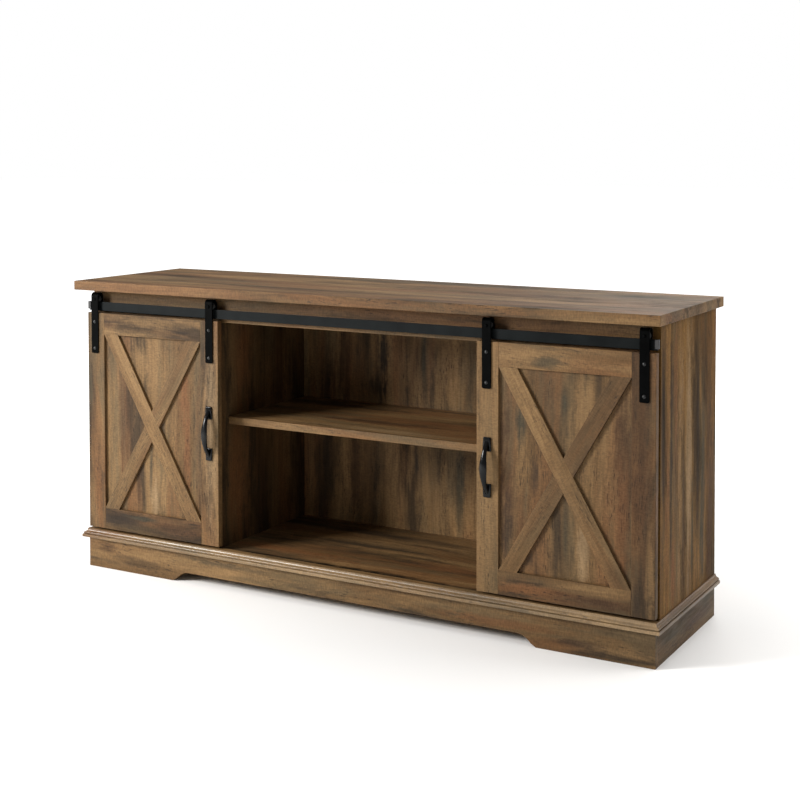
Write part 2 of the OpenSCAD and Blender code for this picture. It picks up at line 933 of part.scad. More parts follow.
// Guides on the back of a door, whose tongues run in the channel
module floor_guides(side) {
    tongue_t = channel_w - 2 * channel_wall - 2 * guide_gap;
    tongue_y = skirt_back_y + channel_wall + guide_gap;
    tongue_z = channel_z + channel_floor + tongue_clear;
    color(NYLON)
        for (outer = [-1, 1])
            translate([side * (door_mid_x + outer * (door_w / 2 - guide_inset)) - guide_w / 2, 0, 0]) {
                translate([0, door_back_y, door_z + 2])
                    cube([guide_w, tongue_y + tongue_t - door_back_y, guide_h]);
                translate([0, tongue_y, tongue_z])
                    cube([guide_w, tongue_t, door_z + 2 + guide_h / 2 - tongue_z]);
            }
}

// ---------- nodes ----------

top_panel();
side_panel(LEFT);  // left_side_panel
side_panel(RIGHT);  // right_side_panel
partition(LEFT);  // left_partition
partition(RIGHT);  // right_partition
bottom_panel();
back_panel();
front_fascia();
shelf(-bay_x, bay_x);  // centre_shelf
shelf(-inner_x, -partition_x);  // left_shelf
shelf(partition_x, inner_x);  // right_shelf
shelf_pins();
front_skirt();
side_skirt(LEFT);  // left_skirt
side_skirt(RIGHT);  // right_skirt
rear_skirt();
front_moulding();
side_moulding(LEFT);  // left_moulding
side_moulding(RIGHT);  // right_moulding
front_cleat();
base_blocks();
floor_glides();
guide_channel();
track_rail();
rail_standoffs();
rail_screws();
rail_end_caps();
panel_dowels();

door_stile(LEFT, 1);  // left_door_outer_stile
door_stile(LEFT, -1);  // left_door_inner_stile
door_rail(LEFT, door_top_z - door_rail_h);  // left_door_top_rail
door_rail(LEFT, door_z);  // left_door_bottom_rail
door_panel(LEFT);  // left_door_panel
long_brace(LEFT);  // left_door_long_brace
short_braces(LEFT);  // left_door_short_braces
hangers(LEFT);  // left_door_hangers
strap_bolts(LEFT);  // left_door_strap_bolts
axle_pins(LEFT);  // left_door_axle_pins
axle_nuts(LEFT);  // left_door_axle_nuts
handle(LEFT);  // left_door_handle
handle_screws(LEFT);  // left_door_handle_screws
floor_guides(LEFT);  // left_door_floor_guides
roller(LEFT, 1);  // left_door_outer_roller
roller(LEFT, -1);  // left_door_inner_roller

door_stile(RIGHT, 1);  // right_door_outer_stile
door_stile(RIGHT, -1);  // right_door_inner_stile
door_rail(RIGHT, door_top_z - door_rail_h);  // right_door_top_rail
door_rail(RIGHT, door_z);  // right_door_bottom_rail
door_panel(RIGHT);  // right_door_panel
long_brace(RIGHT);  // right_door_long_brace
short_braces(RIGHT);  // right_door_short_braces
hangers(RIGHT);  // right_door_hangers
strap_bolts(RIGHT);  // right_door_strap_bolts
axle_pins(RIGHT);  // right_door_axle_pins
axle_nuts(RIGHT);  // right_door_axle_nuts
handle(RIGHT);  // right_door_handle
handle_screws(RIGHT);  // right_door_handle_screws
floor_guides(RIGHT);  // right_door_floor_guides
roller(RIGHT, 1);  // right_door_outer_roller
roller(RIGHT, -1);  // right_door_inner_roller
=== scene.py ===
"""Low media cabinet with sliding barn doors: finishes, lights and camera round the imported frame."""

import logging
import math
from dataclasses import dataclass, field, replace
from enum import Enum

import bpy
from mathutils import Matrix, Vector

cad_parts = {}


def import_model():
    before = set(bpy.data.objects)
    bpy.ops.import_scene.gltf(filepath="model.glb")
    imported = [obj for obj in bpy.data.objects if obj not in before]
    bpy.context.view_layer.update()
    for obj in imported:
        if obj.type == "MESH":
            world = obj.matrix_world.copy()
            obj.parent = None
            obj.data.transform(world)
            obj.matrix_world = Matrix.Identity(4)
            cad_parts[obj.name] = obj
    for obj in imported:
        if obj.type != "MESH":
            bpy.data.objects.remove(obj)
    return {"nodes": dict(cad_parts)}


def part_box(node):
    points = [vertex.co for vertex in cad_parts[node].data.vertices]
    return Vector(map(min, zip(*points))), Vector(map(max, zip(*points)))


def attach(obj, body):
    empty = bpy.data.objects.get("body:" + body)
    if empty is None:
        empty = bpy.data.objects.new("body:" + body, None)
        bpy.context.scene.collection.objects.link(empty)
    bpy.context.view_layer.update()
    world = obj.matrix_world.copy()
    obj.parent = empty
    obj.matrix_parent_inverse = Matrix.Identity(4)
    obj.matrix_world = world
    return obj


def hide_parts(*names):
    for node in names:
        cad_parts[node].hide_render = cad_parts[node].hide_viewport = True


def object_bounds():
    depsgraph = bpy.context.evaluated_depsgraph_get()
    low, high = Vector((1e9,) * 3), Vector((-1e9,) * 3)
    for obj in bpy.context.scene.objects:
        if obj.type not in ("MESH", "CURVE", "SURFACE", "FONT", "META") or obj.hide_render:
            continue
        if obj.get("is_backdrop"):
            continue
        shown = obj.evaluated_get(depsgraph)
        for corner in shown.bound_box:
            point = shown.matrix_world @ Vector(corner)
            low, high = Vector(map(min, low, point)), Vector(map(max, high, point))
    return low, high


LOG = logging.getLogger("media_cabinet")

Colour = tuple[float, float, float]
Triple = tuple[float, float, float]

# How far a layer of the figure is shifted on Y and Z for each step on X
SHIFT_SIDE = 0.7
SHIFT_UP = 1.3
# A reach in metres that is longer than any board, for a stain's direction through the board
EVERYWHERE = 100.0


class Grain(Enum):
    """Which way the grain of a board runs, as the turn that brings it upright."""

    UPRIGHT = (0.0, 0.0, 0.0)
    LEVEL = (0.0, 90.0, 0.0)
    DEPTH = (90.0, 0.0, 0.0)


# ---------------------------------------------------------------- node helpers


class NodeTree:
    """A thin wrapper that adds and joins shader nodes."""

    def __init__(self, tree: bpy.types.NodeTree) -> None:
        """Keeps the tree.

        Args:
            tree: The node tree that is built.
        """
        self.tree = tree

    def add(self, kind: str, **values: object) -> bpy.types.Node:
        """Adds a node.

        Args:
            kind: The node's type name.
            values: Attributes to set on it.

        Returns:
            The new node.
        """
        node = self.tree.nodes.new(kind)
        for name, value in values.items():
            setattr(node, name, value)
        return node

    def join(self, source: bpy.types.NodeSocket, target: bpy.types.NodeSocket) -> None:
        """Links one socket to another."""
        self.tree.links.new(source, target)

    def feed(self, value: object, socket: bpy.types.NodeSocket) -> None:
        """Links a socket, or sets a plain value, on an input.

        Args:
            value: A socket or a number or a tuple.
            socket: The input that takes it.
        """
        if isinstance(value, bpy.types.NodeSocket):
            self.join(value, socket)
        else:
            socket.default_value = value

    def math(self, operation: str, a: object, b: object = 0.0) -> bpy.types.NodeSocket:
        """Adds a maths node.

        Args:
            operation: The operation's name.
            a: The first value.
            b: The second value.

        Returns:
            The answer's socket.
        """
        node = self.add("ShaderNodeMath", operation=operation)
        self.feed(a, node.inputs[0])
        self.feed(b, node.inputs[1])
        return node.outputs[0]

    def ramp(self, value: object, low: float, high: float) -> bpy.types.NodeSocket:
        """Maps a value from low..high to 0..1, with both ends eased.

        Args:
            value: What is mapped.
            low: The value that gives 0.
            high: The value that gives 1.

        Returns:
            The mapped value's socket.
        """
        node = self.add("ShaderNodeMapRange")
        node.interpolation_type = "SMOOTHSTEP"
        self.feed(value, node.inputs["Value"])
        node.inputs["From Min"].default_value = low
        node.inputs["From Max"].default_value = high
        return node.outputs["Result"]

    def blend(self, a: object, b: object, share: float) -> bpy.types.NodeSocket:
        """Adds two values after scaling them.

        Args:
            a: The first value, which gets the share.
            b: The second value, which gets the rest of one.
            share: The first value's share.

        Returns:
            The sum's socket.
        """
        return self.math("ADD", self.math("MULTIPLY", a, share), self.math("MULTIPLY", b, 1.0 - share))

    def span(self, value: object, low: float, high: float) -> bpy.types.NodeSocket:
        """Maps a value from 0..1 to low..high in a straight line.

        Args:
            value: What is mapped.
            low: What 0 gives.
            high: What 1 gives.

        Returns:
            The mapped value's socket.
        """
        return self.math("ADD", self.math("MULTIPLY", value, high - low), low)

    def group(self, tree: bpy.types.NodeTree, position: bpy.types.NodeSocket) -> bpy.types.Node:
        """Adds a node group and gives it the position that it reads.

        Args:
            tree: The node group.
            position: The position.

        Returns:
            The group's node.
        """
        node = self.add("ShaderNodeGroup", node_tree=tree)
        self.join(position, node.inputs["Position"])
        return node

    def mix(self, factor: object, a: object, b: object, blend: str = "MIX") -> bpy.types.NodeSocket:
        """Mixes two colours.

        Args:
            factor: How much of the second is used.
            a: The first colour.
            b: The second colour.
            blend: How they are mixed.

        Returns:
            The mixed colour's socket.
        """
        node = self.add("ShaderNodeMix", data_type="RGBA", blend_type=blend)
        self.feed(factor, node.inputs[0])
        for value, socket in ((a, node.inputs[6]), (b, node.inputs[7])):
            if isinstance(value, tuple):
                value = (*value, 1.0)
            self.feed(value, socket)
        return node.outputs[2]

    def noise(self, vector: object, scale: float, detail: float = 2.0, rough: float = 0.5,
              warp: float = 0.0) -> bpy.types.NodeSocket:
        """Adds a noise pattern.

        Args:
            vector: Where it is read.
            scale: How many lumps there are to a metre.
            detail: How many finer layers it has.
            rough: How strong the finer layers are.
            warp: How much it is distorted.

        Returns:
            The pattern's value.
        """
        node = self.add("ShaderNodeTexNoise")
        self.feed(vector, node.inputs["Vector"])
        node.inputs["Scale"].default_value = scale
        node.inputs["Detail"].default_value = detail
        node.inputs["Roughness"].default_value = rough
        node.inputs["Distortion"].default_value = warp
        return node.outputs["Fac"]

    def stretch(self, vector: object, scale: Triple, shift: Triple = (0.0, 0.0, 0.0)) -> bpy.types.NodeSocket:
        """Scales and shifts a position.

        Args:
            vector: The position.
            scale: The scale on each axis.
            shift: What is added on each axis.

        Returns:
            The new position.
        """
        node = self.add("ShaderNodeMapping")
        self.feed(vector, node.inputs["Vector"])
        node.inputs["Location"].default_value = shift
        node.inputs["Scale"].default_value = scale
        return node.outputs["Vector"]


def new_group(
    name: str, inputs: dict[str, tuple[str, object]], outputs: dict[str, str]
) -> tuple[NodeTree, dict, dict]:
    """Makes an empty node group with named sockets.

    Args:
        name: The group's name.
        inputs: Each input's socket type and default.
        outputs: Each output's socket type.

    Returns:
        The wrapped tree, its input sockets by name and its output sockets by name.
    """
    tree = bpy.data.node_groups.new(name, "ShaderNodeTree")
    for label, (kind, default) in inputs.items():
        socket = tree.interface.new_socket(label, in_out="INPUT", socket_type=kind)
        if default is not None:
            socket.default_value = default
    for label, kind in outputs.items():
        tree.interface.new_socket(label, in_out="OUTPUT", socket_type=kind)
    start = tree.nodes.new("NodeGroupInput")
    end = tree.nodes.new("NodeGroupOutput")
    return NodeTree(tree), {s.name: s for s in start.outputs}, {s.name: s for s in end.inputs}


# ---------------------------------------------------------------- shared effects


@dataclass(frozen=True)
class Layer:
    """One stretched noise layer of the figure: lumps per metre across and along the grain."""

    across: float
    along: float
    detail: float
    rough: float
    shift: float

    def add(self, nodes: NodeTree, place: bpy.types.NodeSocket) -> bpy.types.NodeSocket:
        """Adds the layer.

        Args:
            nodes: The tree it goes into.
            place: The position it reads.

        Returns:
            The layer's value.
        """
        scale = (self.across, self.across, self.along)
        shift = (self.shift, self.shift * SHIFT_SIDE, self.shift * SHIFT_UP)
        return nodes.noise(nodes.stretch(place, scale, shift), 1.0, self.detail, self.rough)


@dataclass(frozen=True)
class OakFigure:
    """The figure of rustic oak, for grain that runs along local Z."""

    name: str = "oak_figure"
    wander_scale: Triple = (4.0, 4.0, 1.9)
    wander: Triple = (0.06, 0.06, 0.0)
    bands: Layer = Layer(16.0, 1.5, 2.0, 0.55, 3.1)
    streaks: Layer = Layer(62.0, 3.6, 4.0, 0.66, 7.7)
    fibre: Layer = Layer(230.0, 14.0, 3.0, 0.65, 1.3)
    dark: Layer = Layer(15.0, 2.3, 3.0, 0.6, 11.9)
    red: Layer = Layer(13.0, 1.7, 2.0, 0.55, 23.3)
    grey: Layer = Layer(15.0, 2.4, 3.0, 0.6, 31.7)
    pores: Layer = Layer(520.0, 60.0, 1.0, 0.5, 5.9)
    pore_groups: Layer = Layer(26.0, 9.0, 2.0, 0.5, 41.3)
    mottle_scale: Triple = (85.0, 85.0, 34.0)
    mottle_shift: Triple = (6.0, 2.0, 8.0)
    saw_scale: Triple = (150.0, 150.0, 330.0)
    saw_shift: Triple = (2.0, 9.0, 4.0)
    band_share: float = 0.58
    patch_share: float = 0.62
    streak_share: float = 0.24
    mottle_share: float = 0.14
    fine_share: float = 0.6
    pore_depth: float = 0.7

    def build(self) -> bpy.types.NodeTree:
        """Builds the group of masks that every oak board uses.

        Returns:
            The node group.
        """
        made = bpy.data.node_groups.get(self.name)
        if made:
            return made
        masks = ("Tone", "Dark", "Red", "Grey", "Streaks", "Fibre", "Pores", "Saw", "Height")
        nodes, given, out = new_group(
            self.name,
            {"Position": ("NodeSocketVector", None)},
            {mask: "NodeSocketFloat" for mask in masks})
        along = self.bend(nodes, given["Position"])
        streaks = self.streaks.add(nodes, along)
        fibre = self.fibre.add(nodes, along)
        mottle = nodes.noise(
            nodes.stretch(along, self.mottle_scale, self.mottle_shift), 1.0, 4.0, 0.7, warp=0.4)
        smudge = nodes.math("ADD", nodes.math("MULTIPLY", streaks, self.streak_share),
                            nodes.math("MULTIPLY", mottle, self.mottle_share))
        tone = nodes.blend(self.bands.add(nodes, along), streaks, self.band_share)
        nodes.join(nodes.ramp(tone, 0.39, 0.61), out["Tone"])
        for mask, layer in (("Dark", self.dark), ("Grey", self.grey)):
            patches = nodes.math("MULTIPLY", layer.add(nodes, along), self.patch_share)
            nodes.join(nodes.ramp(nodes.math("ADD", patches, smudge), 0.485, 0.625), out[mask])
        nodes.join(nodes.ramp(self.red.add(nodes, along), 0.46, 0.62), out["Red"])
        nodes.join(nodes.ramp(nodes.blend(streaks, mottle, self.fine_share), 0.36, 0.64), out["Streaks"])
        nodes.join(nodes.ramp(fibre, 0.3, 0.7), out["Fibre"])
        pores = nodes.math(
            "MULTIPLY",
            nodes.ramp(self.pores.add(nodes, along), 0.58, 0.70),
            nodes.ramp(self.pore_groups.add(nodes, along), 0.46, 0.62))
        nodes.join(pores, out["Pores"])
        saw = nodes.noise(nodes.stretch(along, self.saw_scale, self.saw_shift), 1.0, 2.0, 0.6)
        nodes.join(nodes.ramp(nodes.blend(saw, mottle, self.fine_share), 0.36, 0.64), out["Saw"])
        height = nodes.math("SUBTRACT", nodes.blend(fibre, saw, self.fine_share),
                            nodes.math("MULTIPLY", pores, self.pore_depth))
        nodes.join(height, out["Height"])
        return nodes.tree

    def bend(self, nodes: NodeTree, place: bpy.types.NodeSocket) -> bpy.types.NodeSocket:
        """Makes the grain wander a little from side to side.

        Args:
            nodes: The tree it goes into.
            place: The position on the board.

        Returns:
            The position in the grain.
        """
        wander = nodes.noise(nodes.stretch(place, self.wander_scale), 1.0, 1.5)
        sway = nodes.add("ShaderNodeVectorMath", operation="SCALE")
        sway.inputs[0].default_value = self.wander
        nodes.join(wander, sway.inputs["Scale"])
        bent = nodes.add("ShaderNodeVectorMath", operation="ADD")
        nodes.join(place, bent.inputs[0])
        nodes.join(sway.outputs[0], bent.inputs[1])
        return bent.outputs[0]


@dataclass(frozen=True)
class KnotMarks:
    """Small oval knots, each with a halo, scattered thinly."""

    name: str = "knot_marks"
    spacing: Triple = (7.5, 7.5, 4.2)
    shift: Triple = (0.4, 0.9, 0.2)
    fray_scale: Triple = (90.0, 90.0, 60.0)
    fray: float = 0.06
    knot_edge: tuple[float, float] = (0.078, 0.052)
    halo_edge: tuple[float, float] = (0.26, 0.05)
    rarity: tuple[float, float] = (0.62, 0.66)

    def build(self) -> bpy.types.NodeTree:
        """Builds the group that gives a knot mask and its halo.

        Returns:
            The node group.
        """
        made = bpy.data.node_groups.get(self.name)
        if made:
            return made
        nodes, given, out = new_group(
            self.name,
            {"Position": ("NodeSocketVector", None)},
            {"Knot": "NodeSocketFloat", "Halo": "NodeSocketFloat"})
        cells = nodes.add("ShaderNodeTexVoronoi", feature="F1")
        cells.inputs["Scale"].default_value = 1.0
        cells.inputs["Randomness"].default_value = 1.0
        nodes.join(nodes.stretch(given["Position"], self.spacing, self.shift), cells.inputs["Vector"])
        rough = nodes.noise(nodes.stretch(given["Position"], self.fray_scale), 1.0, 2.0)
        far = nodes.math("ADD", cells.outputs["Distance"], nodes.math("MULTIPLY", rough, self.fray))
        draw = nodes.add("ShaderNodeSeparateColor")
        nodes.join(cells.outputs["Color"], draw.inputs[0])
        some = nodes.ramp(draw.outputs[0], *self.rarity)
        for mask, edge in (("Knot", self.knot_edge), ("Halo", self.halo_edge)):
            nodes.join(nodes.math("MULTIPLY", nodes.ramp(far, *edge), some), out[mask])
        return nodes.tree


@dataclass(frozen=True)
class SoftPatch:
    """One soft patch on a board, for a stain and for painted shade alike, with an edge that frays along the
    grain.
    """

    name: str = "soft_patch"
    fray: float = 0.9
    edge: tuple[float, float] = (1.75, 0.55)

    def build(self) -> bpy.types.NodeTree:
        """Builds the group that gives a patch's mask.

        Returns:
            The node group.
        """
        made = bpy.data.node_groups.get(self.name)
        if made:
            return made
        nodes, given, out = new_group(
            self.name,
            {"Position": ("NodeSocketVector", None), "Centre": ("NodeSocketVector", None),
             "Reach": ("NodeSocketVector", (1.0, 1.0, 1.0)), "Edge": ("NodeSocketFloat", 0.5)},
            {"Mask": "NodeSocketFloat"})
        away = nodes.add("ShaderNodeVectorMath", operation="SUBTRACT")
        nodes.join(given["Position"], away.inputs[0])
        nodes.join(given["Centre"], away.inputs[1])
        share = nodes.add("ShaderNodeVectorMath", operation="DIVIDE")
        nodes.join(away.outputs[0], share.inputs[0])
        nodes.join(given["Reach"], share.inputs[1])
        far = nodes.add("ShaderNodeVectorMath", operation="LENGTH")
        nodes.join(share.outputs[0], far.inputs[0])
        frayed = nodes.math("ADD", far.outputs["Value"], nodes.math("MULTIPLY", given["Edge"], self.fray))
        nodes.join(nodes.ramp(frayed, *self.edge), out["Mask"])
        return nodes.tree


@dataclass(frozen=True)
class CoatSpeckle:
    """The fine orange peel and faint patches of a satin coat on metal or plastic."""

    name: str = "coat_speckle"

    def build(self) -> bpy.types.NodeTree:
        """Builds the group of coat variations.

        Returns:
            The node group.
        """
        made = bpy.data.node_groups.get(self.name)
        if made:
            return made
        nodes, given, out = new_group(
            self.name,
            {"Position": ("NodeSocketVector", None), "Grain Size": ("NodeSocketFloat", 900.0)},
            {"Patches": "NodeSocketFloat", "Height": "NodeSocketFloat"})
        peel = nodes.add("ShaderNodeTexNoise")
        nodes.join(given["Position"], peel.inputs["Vector"])
        nodes.join(given["Grain Size"], peel.inputs["Scale"])
        nodes.join(nodes.ramp(nodes.noise(given["Position"], 24.0, 4.0, 0.6), 0.3, 0.7), out["Patches"])
        nodes.join(peel.outputs["Fac"], out["Height"])
        return nodes.tree


# ---------------------------------------------------------------- finishes


WHITE = (1.0, 1.0, 1.0, 1.0)
SHADOW: Colour = (0.0015, 0.0012, 0.001)
KNOT: Colour = (0.012, 0.008, 0.005)
PORE: Colour = (0.014, 0.009, 0.005)
CHAR: Colour = (0.018, 0.013, 0.009)
SLATE: Colour = (0.038, 0.033, 0.020)
UMBER: Colour = (0.048, 0.023, 0.010)
RUST: Colour = (0.138, 0.059, 0.0215)
TAN: Colour = (0.200, 0.118, 0.050)
STRAW: Colour = (0.250, 0.165, 0.085)


@dataclass(frozen=True)
class StainAndShade:
    """A stain at one place on a board, or a strip of painted shade laid the same way."""

    centre: Triple
    reach: Triple
    colour: Colour
    amount: float

    @classmethod
    def front(cls, x: float, z: float, wide: float, high: float, colour: Colour, amount: float) -> "StainAndShade":
        """A stain on a board that faces the front."""
        return cls((x, 0.0, z), (wide, EVERYWHERE, high), colour, amount)

    @classmethod
    def side(cls, y: float, z: float, deep: float, high: float, colour: Colour, amount: float) -> "StainAndShade":
        """A stain on a board that faces the side."""
        return cls((0.0, y, z), (EVERYWHERE, deep, high), colour, amount)

    @classmethod
    def level(cls, x: float, y: float, wide: float, deep: float, colour: Colour, amount: float) -> "StainAndShade":
        """A stain, or painted shade, on a board that lies flat."""
        return cls((x, y, 0.0), (wide, deep, EVERYWHERE), colour, amount)


@dataclass(frozen=True)
class OakFinish:
    """One board's own rustic oak: the shared figure, turned and shifted for that board."""

    name: str
    turn: Triple
    shift: Triple
    light: Colour = (0.196, 0.115, 0.048)
    mid: Colour = (0.108, 0.059, 0.0225)
    dark: Colour = (0.024, 0.0155, 0.0085)
    red: Colour = (0.124, 0.053, 0.019)
    grey: Colour = (0.062, 0.048, 0.0255)
    gain: float = 1.0
    dark_amount: float = 0.85
    red_amount: float = 0.60
    grey_amount: float = 0.60
    roughness: float = 0.58
    specular: float = 0.18
    stains_and_shade: tuple[StainAndShade, ...] = ()

    fibre_shade: tuple[float, float] = (0.87, 1.13)
    saw_shade: tuple[float, float] = (0.83, 1.17)
    pore_amount: float = 0.7
    halo_amount: float = 0.4
    knot_amount: float = 0.85
    fibre_gloss: float = -0.10
    dark_dull: float = 0.12
    bump: float = 0.35
    relief: float = 0.0006

    def lit(self, colour: Colour) -> Colour:
        """Gives a colour times this board's gain."""
        return tuple(c * self.gain for c in colour)

    def build(self) -> bpy.types.Material:
        """Builds the material.

        Returns:
            The new material.
        """
        material = bpy.data.materials.new(self.name)
        material.use_nodes = True
        nodes = NodeTree(material.node_tree)
        shader = material.node_tree.nodes["Principled BSDF"]
        where = nodes.add("ShaderNodeTexCoord").outputs["Object"]
        turned = nodes.add("ShaderNodeMapping")
        turned.inputs["Rotation"].default_value = tuple(math.radians(a) for a in self.turn)
        turned.inputs["Location"].default_value = self.shift
        nodes.join(where, turned.inputs["Vector"])
        mask = nodes.group(OakFigure().build(), turned.outputs[0]).outputs
        knots = nodes.group(KnotMarks().build(), turned.outputs[0]).outputs
        colour = self.stain_and_shade(nodes, where, mask, self.figure(nodes, mask))
        colour = self.wear(nodes, mask, knots, colour)
        nodes.join(colour, shader.inputs["Base Color"])
        dull = nodes.math("ADD", nodes.math("MULTIPLY", mask["Dark"], self.dark_dull), self.roughness)
        rough = nodes.math("ADD", nodes.math("MULTIPLY", mask["Fibre"], self.fibre_gloss), dull)
        nodes.join(rough, shader.inputs["Roughness"])
        bump = nodes.add("ShaderNodeBump")
        bump.inputs["Strength"].default_value = self.bump
        bump.inputs["Distance"].default_value = self.relief
        nodes.join(mask["Height"], bump.inputs["Height"])
        nodes.join(bump.outputs["Normal"], shader.inputs["Normal"])
        shader.inputs["Specular IOR Level"].default_value = self.specular
        return material

    def figure(self, nodes: NodeTree, mask: dict) -> bpy.types.NodeSocket:
        """Colours the bands of the figure.

        Args:
            nodes: The material's tree.
            mask: The figure's masks by name.

        Returns:
            The colour.
        """
        colour = nodes.mix(mask["Tone"], self.lit(self.mid), self.lit(self.light))
        for name, amount, tint in (
            ("Red", self.red_amount, self.red),
            ("Grey", self.grey_amount, self.grey),
            ("Dark", self.dark_amount, self.dark),
        ):
            colour = nodes.mix(nodes.math("MULTIPLY", mask[name], amount), colour, self.lit(tint))
        return colour

    def stain_and_shade(self, nodes: NodeTree, where: bpy.types.NodeSocket, mask: dict,
              colour: bpy.types.NodeSocket) -> bpy.types.NodeSocket:
        """Lays the board's stains and painted shade over its colour.

        Args:
            nodes: The material's tree.
            where: The position on the board, in metres.
            mask: The figure's masks by name.
            colour: The colour below.

        Returns:
            The colour.
        """
        for stain_and_shade in self.stains_and_shade:
            patch = nodes.group(SoftPatch().build(), where)
            patch.inputs["Centre"].default_value = stain_and_shade.centre
            patch.inputs["Reach"].default_value = stain_and_shade.reach
            nodes.join(mask["Streaks"], patch.inputs["Edge"])
            share = nodes.math("MULTIPLY", patch.outputs["Mask"], stain_and_shade.amount)
            colour = nodes.mix(share, colour, stain_and_shade.colour)
        return colour

    def wear(self, nodes: NodeTree, mask: dict, knots: dict,
             colour: bpy.types.NodeSocket) -> bpy.types.NodeSocket:
        """Adds the fibres, saw marks, pores and knots.

        Args:
            nodes: The material's tree.
            mask: The figure's masks by name.
            knots: The knots' masks by name.
            colour: The colour below.

        Returns:
            The colour.
        """
        shade = nodes.math("MULTIPLY", nodes.span(mask["Fibre"], *self.fibre_shade),
                           nodes.span(mask["Saw"], *self.saw_shade))
        grey_shade = nodes.add("ShaderNodeCombineColor")
        for socket in grey_shade.inputs:
            nodes.join(shade, socket)
        colour = nodes.mix(1.0, colour, grey_shade.outputs[0], "MULTIPLY")
        for value, amount, tint in (
            (mask["Pores"], self.pore_amount, self.lit(PORE)),
            (knots["Halo"], self.halo_amount, self.lit(self.dark)),
            (knots["Knot"], self.knot_amount, KNOT),
        ):
            colour = nodes.mix(nodes.math("MULTIPLY", value, amount), colour, tint)
        return colour


@dataclass(frozen=True)
class CoatFinish:
    """A satin coat on metal, or plain moulded plastic."""

    name: str
    low: Colour
    high: Colour
    roughness: float
    metallic: float = 0.0
    spread: float = 0.12
    grain_size: float = 900.0
    bump: float = 0.15
    relief: float = 0.0002
    specular: float = 0.5

    def build(self) -> bpy.types.Material:
        """Builds the material, or gives the one already built.

        Returns:
            The material.
        """
        made = bpy.data.materials.get(self.name)
        if made:
            return made
        material = bpy.data.materials.new(self.name)
        material.use_nodes = True
        nodes = NodeTree(material.node_tree)
        shader = material.node_tree.nodes["Principled BSDF"]
        where = nodes.add("ShaderNodeTexCoord").outputs["Object"]
        speckle = nodes.group(CoatSpeckle().build(), where)
        speckle.inputs["Grain Size"].default_value = self.grain_size
        patches = speckle.outputs["Patches"]
        nodes.join(nodes.mix(patches, self.low, self.high), shader.inputs["Base Color"])
        rough = nodes.math("ADD", nodes.math("MULTIPLY", patches, self.spread), self.roughness)
        nodes.join(rough, shader.inputs["Roughness"])
        bump = nodes.add("ShaderNodeBump")
        bump.inputs["Strength"].default_value = self.bump
        bump.inputs["Distance"].default_value = self.relief
        nodes.join(speckle.outputs["Height"], bump.inputs["Height"])
        nodes.join(bump.outputs["Normal"], shader.inputs["Normal"])
        shader.inputs["Metallic"].default_value = self.metallic
        shader.inputs["Specular IOR Level"].default_value = self.specular
        return material


BLACK_STEEL = CoatFinish(
    "black_steel_coat", (0.0024, 0.0036, 0.0038), (0.0046, 0.0062, 0.0066), 0.42, spread=0.14, specular=0.085)
BLACK_BOLT = CoatFinish(
    "black_bolt_coat", (0.006, 0.0064, 0.0064), (0.012, 0.0126, 0.0126), 0.34, spread=0.10, specular=0.40)
BLACK_STRAP = CoatFinish(
    "black_strap_coat", (0.0007, 0.0008, 0.0008), (0.0016, 0.0018, 0.0018), 0.46, spread=0.14, specular=0.022)
BLACK_HANDLE = CoatFinish(
    "black_handle_coat", (0.0016, 0.0016, 0.0018), (0.003, 0.003, 0.0033), 0.17, spread=0.10,
    grain_size=500.0, bump=0.2, specular=0.22)
BARE_STEEL = CoatFinish(
    "zinc_plate", (0.42, 0.42, 0.41), (0.58, 0.58, 0.57), 0.30, metallic=1.0, spread=0.15)
BLACK_NYLON = CoatFinish(
    "black_nylon", (0.0035, 0.0035, 0.004), (0.006, 0.006, 0.0065), 0.45, specular=0.2)
GLIDE_PAD = CoatFinish(
    "glide_pad", (0.040, 0.034, 0.028), (0.070, 0.062, 0.052), 0.75, spread=0.1, grain_size=1400.0, bump=0.3)
PINE = CoatFinish(
    "bare_pine", (0.52, 0.36, 0.20), (0.66, 0.48, 0.29), 0.62, spread=0.1, grain_size=260.0, bump=0.3)
WARM = {"light": (0.174, 0.090, 0.024), "mid": (0.094, 0.044, 0.0115), "specular": 0.04}
POLISHED = {"roughness": 0.40, "specular": 0.50, "dark_amount": 0.5, "light": (0.215, 0.140, 0.068)}
CLEAR = {"dark_amount": 0.35, "red_amount": 0.3, "grey_amount": 0.35}


def dress(node: bpy.types.Object, material: bpy.types.Material) -> None:
    """Puts one material on every slot of a CAD node.

    Args:
        node: The CAD node's object.
        material: The material it gets.
    """
    if not node.material_slots:
        node.data.materials.append(material)
    for slot in node.material_slots:
        slot.material = material


# ---------------------------------------------------------------- the cabinet


@dataclass
class Board:
    """One CAD board and the look of its oak."""

    node: str
    grain: Grain
    shift: Triple
    gain: float = 1.0
    lean: float = 0.0
    stains_and_shade: tuple[StainAndShade, ...] = ()
    changes: dict[str, object] = field(default_factory=dict)

    def dress(self, nodes: dict[str, bpy.types.Object]) -> None:
        """Gives the board its own oak.

        Args:
            nodes: The CAD nodes by name.
        """
        turn = (0.0, self.lean, 0.0) if self.lean else self.grain.value
        finish = OakFinish(
            f"oak_{self.node}", turn, self.shift, gain=self.gain, stains_and_shade=self.stains_and_shade, **self.changes)
        dress(nodes[self.node], finish.build())
        LOG.info("dressed %s", self.node)


